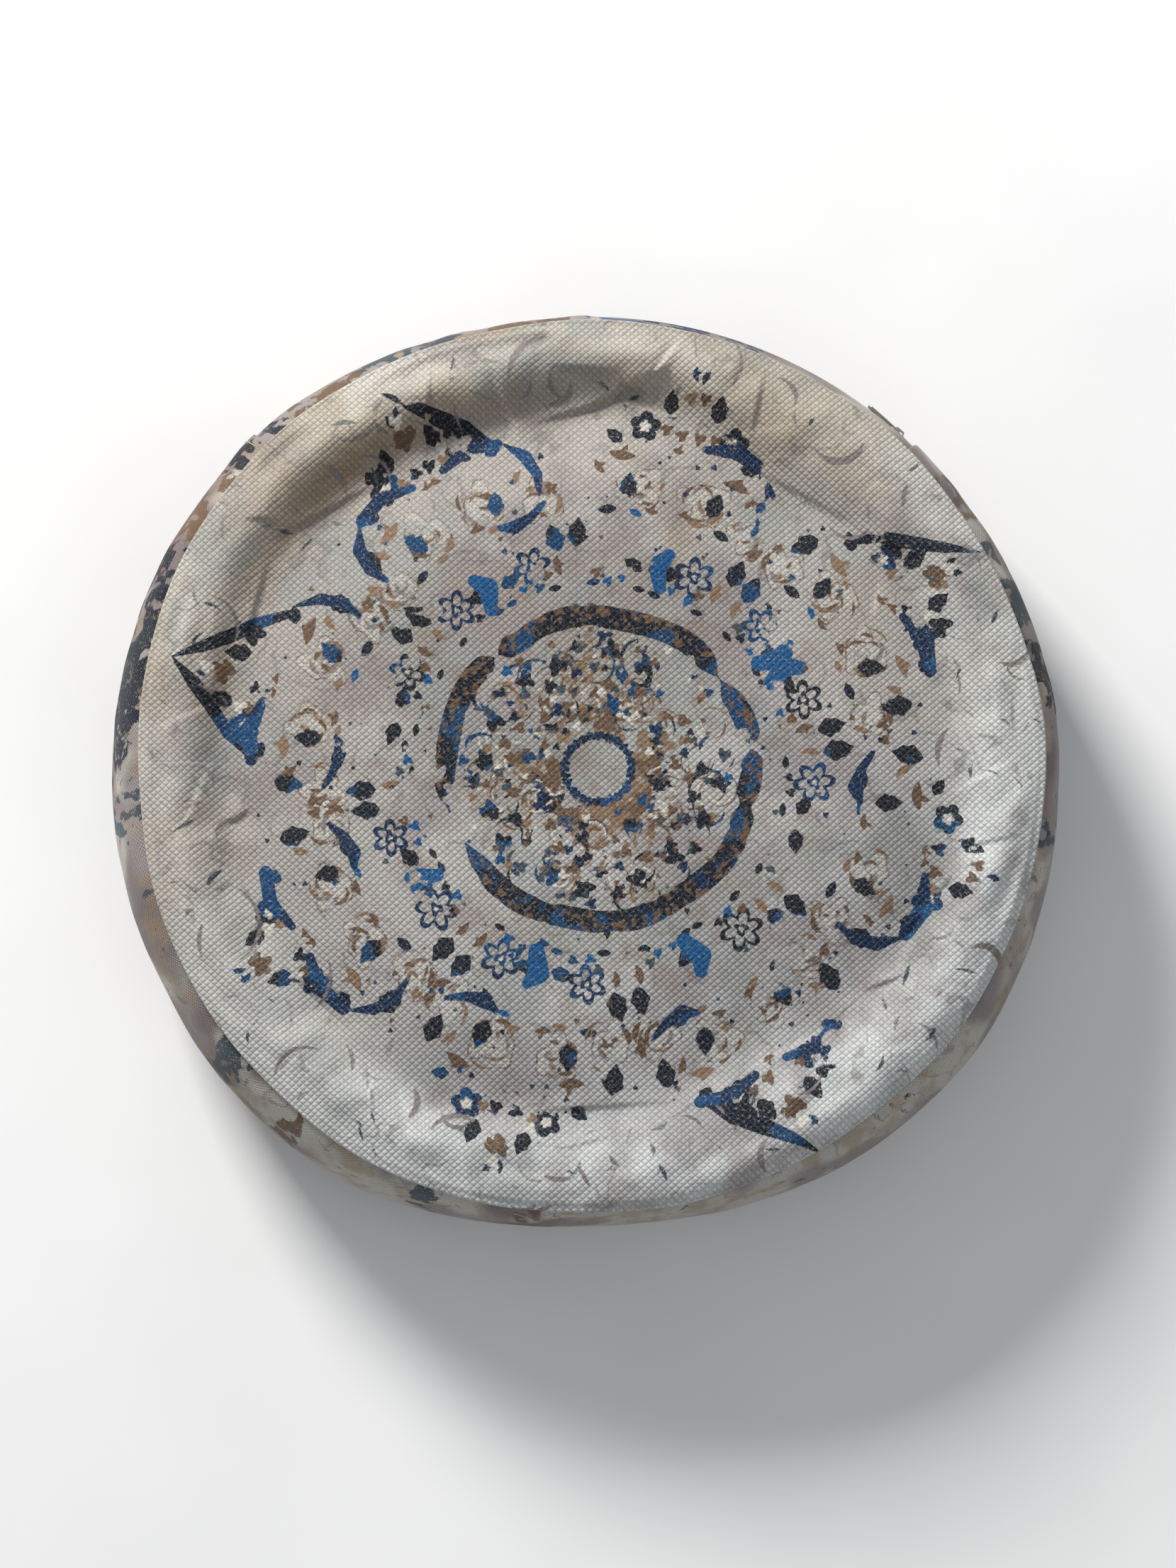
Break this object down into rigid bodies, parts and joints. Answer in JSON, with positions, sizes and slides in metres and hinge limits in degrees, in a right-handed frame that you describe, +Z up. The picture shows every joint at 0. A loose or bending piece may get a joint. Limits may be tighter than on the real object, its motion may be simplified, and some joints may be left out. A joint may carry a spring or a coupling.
{
  "type": "floor cushion",
  "caption": "Round boxed floor cushion: printed canvas cover with an unpiped edge, a bulging side band and a zip at the back, over a fibre-filled insert.",
  "frame": {"origin": "middle of the base, on the floor", "axes": "+Z up out of the top panel; +Y towards the zip at the back, so -Y is the front, the picture's lower edge"},
  "size_m": [0.524, 0.5232, 0.108],
  "materials": {
    "top_canvas": "coarse plain-weave canvas with a faded medallion print in cream, tan, brown and blues",
    "band_canvas": "plain-weave canvas with a faded print in mauve-grey, navy, teal and terracotta",
    "base_canvas": "plain unprinted canvas",
    "zip_tape": "fine woven tape",
    "zip_coil": "nylon coil, slightly glossy",
    "zip_metal": "dull nickel",
    "thread": "spun polyester sewing thread",
    "casing": "thin white non-woven casing",
    "filling": "white polyester fibre"
  },
  "bodies": {
    "cushion": {"top_panel": "top_canvas", "side_band": "band_canvas", "bottom_panel": "base_canvas", "zip_panel_upper": "band_canvas", "zip_panel_lower": "band_canvas", "zip_tape_upper": "zip_tape", "zip_tape_lower": "zip_tape", "zip_coil_upper": "zip_coil", "zip_coil_lower": "zip_coil", "zip_top_stop_upper": "zip_metal", "zip_top_stop_lower": "zip_metal", "zip_bottom_stop": "zip_metal", "top_seam_thread": "thread", "bottom_seam_thread": "thread", "band_joint_thread_left": "thread", "band_joint_thread_right": "thread", "zip_stitching_upper": "thread", "zip_stitching_lower": "thread", "insert_top": "casing", "insert_band": "casing", "insert_bottom": "casing", "insert_top_thread": "thread", "insert_bottom_thread": "thread", "insert_filling": "filling"},
    "slider": {"zip_slider_body": "zip_metal"},
    "pull_tab": {"zip_pull_tab": "zip_metal"}
  },
  "joints": [
    {"name": "zip_slide", "type": "hinge", "parent": "cushion", "child": "slider", "pos_m": [0, 0, 0.044], "axis": [0, 0, 1], "range_deg": [0, 83.3]},
    {"name": "tab_swing", "type": "hinge", "parent": "slider", "child": "pull_tab", "pos_m": [0.17488, 0.19645, 0.04353], "axis": [-0.0882, -0.099, -0.9912], "range_deg": [0, 180]}
  ]
}
